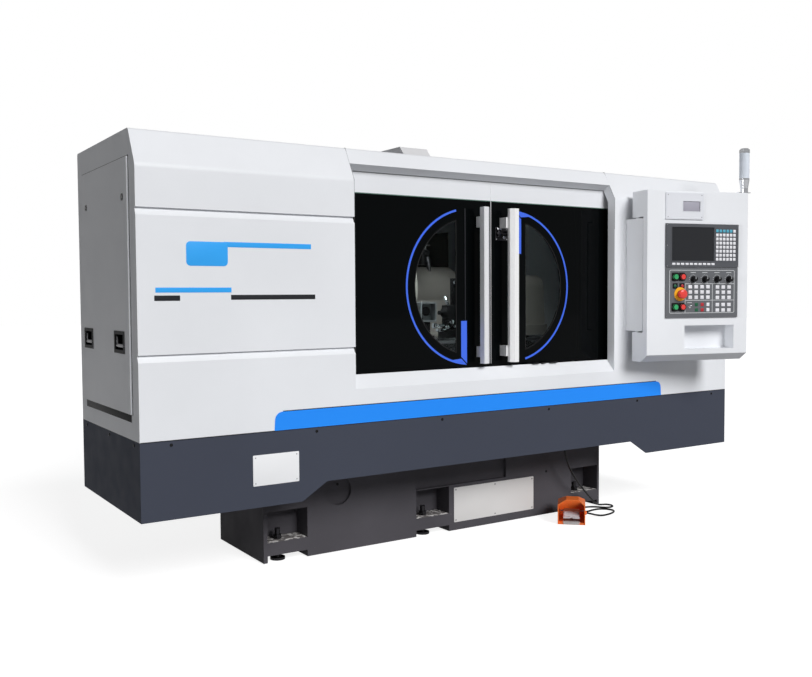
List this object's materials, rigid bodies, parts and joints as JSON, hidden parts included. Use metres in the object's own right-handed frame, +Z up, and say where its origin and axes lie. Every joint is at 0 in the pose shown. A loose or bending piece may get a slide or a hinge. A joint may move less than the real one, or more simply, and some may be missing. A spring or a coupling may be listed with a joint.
{
  "type": "cnc cylindrical grinder",
  "caption": "Enclosed cylindrical grinding machine with two sliding doors, a swinging control box, work centres, a grinding wheelhead and a foot switch.",
  "frame": {"origin": "on the floor, at the centre of the footprint of the machine without its foot switch and cable", "axes": "+X runs to the right along the front, +Y runs to the back, +Z is up; the doors and the control box face -Y"},
  "size_m": [2.808, 2.159, 1.6142],
  "materials": {
    "casting": "painted casting, satin",
    "foot_steel": "turned steel",
    "dark_paint": "dark slate powder coat, satin",
    "white_paint": "smooth white powder coat",
    "black_plastic": "fine black moulded plastic",
    "bright_steel": "ground steel, bright",
    "blue_film": "plain blue film",
    "rail_steel": "drawn steel",
    "door_frame": "smooth white powder coat",
    "door_panel": "black backed toughened glass, polished",
    "window": "clear toughened glass",
    "arc_blue": "blue trim strip, satin",
    "handle_bright": "satin aluminium",
    "carriage": "black bearing blocks",
    "plate_grey": "grey fine textured panel",
    "unit_black": "black moulded plastic",
    "screen": "dark display glass",
    "key_grey": "pale key caps",
    "chrome": "bright plated",
    "lamp_lens": "frosted light lens",
    "red_plastic": "glossy red",
    "green_plastic": "glossy green",
    "cast_light": "grey machine paint",
    "motor": "ribbed motor paint",
    "abrasive": "vitrified abrasive, rough",
    "orange_paint": "orange hammered paint",
    "cable": "glossy black rubber sheath"
  },
  "bodies": {
    "machine": {"bed": "casting", "levelling_feet": "foot_steel", "skirt": "dark_paint", "drip_tray": "dark_paint", "left_cover": "white_paint", "top_cover": "white_paint", "apron": "white_paint", "right_cover": "white_paint", "side_panel": "white_paint", "side_trays": "black_plastic", "blue_stripe": "blue_film", "roof_hood": "white_paint", "rear_cover": "white_paint", "door_rails": "rail_steel", "pendant_post": "white_paint", "foot_switch_guard": "orange_paint", "footswitch_cable": "cable", "cable_gland": "black_plastic"},
    "left_door": {"left_door_frame": "door_frame", "left_door_panel": "door_panel", "left_window": "window", "left_arc": "arc_blue", "left_handle": "handle_bright", "left_carriages": "carriage"},
    "right_door": {"right_door_frame": "door_frame", "right_door_panel": "door_panel", "right_window": "window", "right_arc": "arc_blue", "right_handle": "handle_bright", "right_carriages": "carriage"},
    "pendant": {"pendant_box": "white_paint", "control_plates": "plate_grey", "cnc_unit": "unit_black", "screens": "screen", "cnc_keys": "key_grey", "lamp_body": "chrome", "lamp_lens": "lamp_lens"},
    "e_stop": {"e_stop": "red_plastic"},
    "green_button_upper": {"green_button_upper": "green_plastic"},
    "red_button_upper": {"red_button_upper": "red_plastic"},
    "green_button_lower": {"green_button_lower": "green_plastic"},
    "red_button_lower": {"red_button_lower": "red_plastic"},
    "knob_1": {"knob_1": "black_plastic"},
    "knob_2": {"knob_2": "black_plastic"},
    "knob_3": {"knob_3": "black_plastic"},
    "knob_4": {"knob_4": "black_plastic"},
    "table": {"table": "casting", "workhead": "cast_light"},
    "work_spindle": {"work_spindle": "bright_steel"},
    "tailstock": {"tailstock": "cast_light"},
    "quill": {"quill": "bright_steel"},
    "wheelhead": {"wheelhead": "casting", "wheel_guard": "cast_light", "wheel_motor": "motor"},
    "wheel": {"wheel_spindle": "bright_steel", "grinding_wheel": "abrasive"},
    "foot_treadle": {"foot_treadle": "rail_steel"},
    "side_bail_front": {"side_bail_front": "bright_steel"},
    "side_bail_rear": {"side_bail_rear": "bright_steel"}
  },
  "joints": [
    {"name": "left_door_slide", "type": "slide", "parent": "machine", "child": "left_door", "axis": [-1, 0, 0], "range_m": [0, 0.573]},
    {"name": "right_door_slide", "type": "slide", "parent": "machine", "child": "right_door", "axis": [1, 0, 0], "range_m": [0, 0.527]},
    {"name": "pendant_swing", "type": "hinge", "parent": "machine", "child": "pendant", "pos_m": [0.756, -0.8685, 1.06], "axis": [0, 0, -1], "range_deg": [-14.5, 75]},
    {"name": "e_stop_press", "type": "slide", "parent": "pendant", "child": "e_stop", "axis": [0.2504, 0.9681, 0], "range_m": [0, 0.006]},
    {"name": "green_button_upper_press", "type": "slide", "parent": "pendant", "child": "green_button_upper", "axis": [0.2504, 0.9681, 0], "range_m": [0, 0.004], "stiffness_N_per_m": 400, "springref_m": -0.002},
    {"name": "red_button_upper_press", "type": "slide", "parent": "pendant", "child": "red_button_upper", "axis": [0.2504, 0.9681, 0], "range_m": [0, 0.004], "stiffness_N_per_m": 400, "springref_m": -0.002},
    {"name": "green_button_lower_press", "type": "slide", "parent": "pendant", "child": "green_button_lower", "axis": [0.2504, 0.9681, 0], "range_m": [0, 0.004], "stiffness_N_per_m": 400, "springref_m": -0.002},
    {"name": "red_button_lower_press", "type": "slide", "parent": "pendant", "child": "red_button_lower", "axis": [0.2504, 0.9681, 0], "range_m": [0, 0.004], "stiffness_N_per_m": 400, "springref_m": -0.002},
    {"name": "knob_1_turn", "type": "hinge", "parent": "pendant", "child": "knob_1", "pos_m": [0.94083, -1.00684, 1.043], "axis": [0.2504, 0.9681, 0], "range_deg": [-150, 150]},
    {"name": "knob_2_turn", "type": "hinge", "parent": "pendant", "child": "knob_2", "pos_m": [0.99795, -1.02161, 1.043], "axis": [0.2504, 0.9681, 0], "range_deg": [-150, 150]},
    {"name": "knob_3_turn", "type": "hinge", "parent": "pendant", "child": "knob_3", "pos_m": [1.05798, -1.03713, 1.043], "axis": [0.2504, 0.9681, 0], "range_deg": [-150, 150]},
    {"name": "knob_4_turn", "type": "hinge", "parent": "pendant", "child": "knob_4", "pos_m": [1.11704, -1.0524, 1.043], "axis": [0.2504, 0.9681, 0], "range_deg": [-150, 150]},
    {"name": "table_traverse", "type": "slide", "parent": "machine", "child": "table", "axis": [1, 0, 0], "range_m": [-0.2, 0.2]},
    {"name": "work_spin", "type": "hinge", "parent": "table", "child": "work_spindle", "pos_m": [-0.396, -0.4205, 1.013], "axis": [1, 0, 0], "continuous": true},
    {"name": "tailstock_shift", "type": "slide", "parent": "table", "child": "tailstock", "axis": [1, 0, 0], "range_m": [0, 0.09]},
    {"name": "quill_draw", "type": "slide", "parent": "tailstock", "child": "quill", "axis": [1, 0, 0], "range_m": [0, 0.04]},
    {"name": "wheelhead_infeed", "type": "slide", "parent": "machine", "child": "wheelhead", "axis": [0, -1, 0], "range_m": [0, 0.22]},
    {"name": "wheel_spin", "type": "hinge", "parent": "wheelhead", "child": "wheel", "pos_m": [0.044, 0.0595, 1.013], "axis": [1, 0, 0], "continuous": true},
    {"name": "treadle_press", "type": "hinge", "parent": "machine", "child": "foot_treadle", "pos_m": [0.5323, -0.69883, 0.034], "axis": [0.7254, -0.6884, 0], "range_deg": [0, 7], "stiffness_Nm_per_rad": 2, "springref_deg": -14.32},
    {"name": "side_bail_front_lift", "type": "hinge", "parent": "machine", "child": "side_bail_front", "pos_m": [-1.398, -0.6435, 0.852], "axis": [0, 1, 0], "range_deg": [0, 85]},
    {"name": "side_bail_rear_lift", "type": "hinge", "parent": "machine", "child": "side_bail_rear", "pos_m": [-1.398, -0.2605, 0.852], "axis": [0, 1, 0], "range_deg": [0, 85]}
  ]
}
